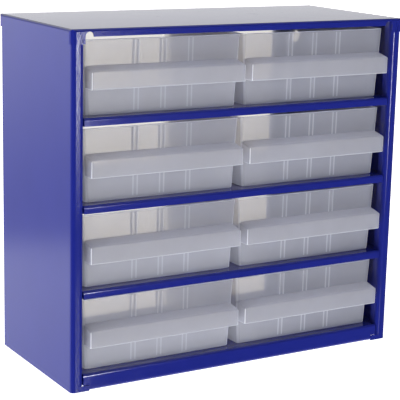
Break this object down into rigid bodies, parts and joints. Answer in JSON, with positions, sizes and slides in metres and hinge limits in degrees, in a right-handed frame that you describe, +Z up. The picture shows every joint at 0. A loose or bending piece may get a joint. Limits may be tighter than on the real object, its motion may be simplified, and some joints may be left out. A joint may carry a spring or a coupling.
{
  "type": "parts bin cabinet",
  "caption": "Folded sheet-steel small-parts cabinet with milky plastic pull-out bins in two columns on shelves, open at the back.",
  "frame": {"origin": "under the middle of the cabinet, on the surface that it stands on", "axes": "+Z up, +X to the right as seen from the front, and the bins open towards -Y"},
  "size_m": [0.308, 0.14, 0.282],
  "materials": {
    "blue_enamel": "glossy ultramarine stove enamel on folded steel sheet",
    "milky_plastic": "natural milky translucent injection-moulded plastic"
  },
  "bodies": {
    "cabinet": {"left_side": "blue_enamel", "right_side": "blue_enamel", "lid": "blue_enamel", "base": "blue_enamel", "shelf_1": "blue_enamel", "shelf_2": "blue_enamel", "shelf_3": "blue_enamel"},
    "bin_row1_left": {"bin_row1_left": "milky_plastic"},
    "bin_row1_right": {"bin_row1_right": "milky_plastic"},
    "bin_row2_left": {"bin_row2_left": "milky_plastic"},
    "bin_row2_right": {"bin_row2_right": "milky_plastic"},
    "bin_row3_left": {"bin_row3_left": "milky_plastic"},
    "bin_row3_right": {"bin_row3_right": "milky_plastic"},
    "bin_row4_left": {"bin_row4_left": "milky_plastic"},
    "bin_row4_right": {"bin_row4_right": "milky_plastic"}
  },
  "joints": [
    {"name": "row1_left_slide", "type": "slide", "parent": "cabinet", "child": "bin_row1_left", "axis": [0, -1, 0], "range_m": [0, 0.111]},
    {"name": "row1_right_slide", "type": "slide", "parent": "cabinet", "child": "bin_row1_right", "axis": [0, -1, 0], "range_m": [0, 0.111]},
    {"name": "row2_left_slide", "type": "slide", "parent": "cabinet", "child": "bin_row2_left", "axis": [0, -1, 0], "range_m": [0, 0.111]},
    {"name": "row2_right_slide", "type": "slide", "parent": "cabinet", "child": "bin_row2_right", "axis": [0, -1, 0], "range_m": [0, 0.111]},
    {"name": "row3_left_slide", "type": "slide", "parent": "cabinet", "child": "bin_row3_left", "axis": [0, -1, 0], "range_m": [0, 0.111]},
    {"name": "row3_right_slide", "type": "slide", "parent": "cabinet", "child": "bin_row3_right", "axis": [0, -1, 0], "range_m": [0, 0.111]},
    {"name": "row4_left_slide", "type": "slide", "parent": "cabinet", "child": "bin_row4_left", "axis": [0, -1, 0], "range_m": [0, 0.111]},
    {"name": "row4_right_slide", "type": "slide", "parent": "cabinet", "child": "bin_row4_right", "axis": [0, -1, 0], "range_m": [0, 0.111]}
  ]
}
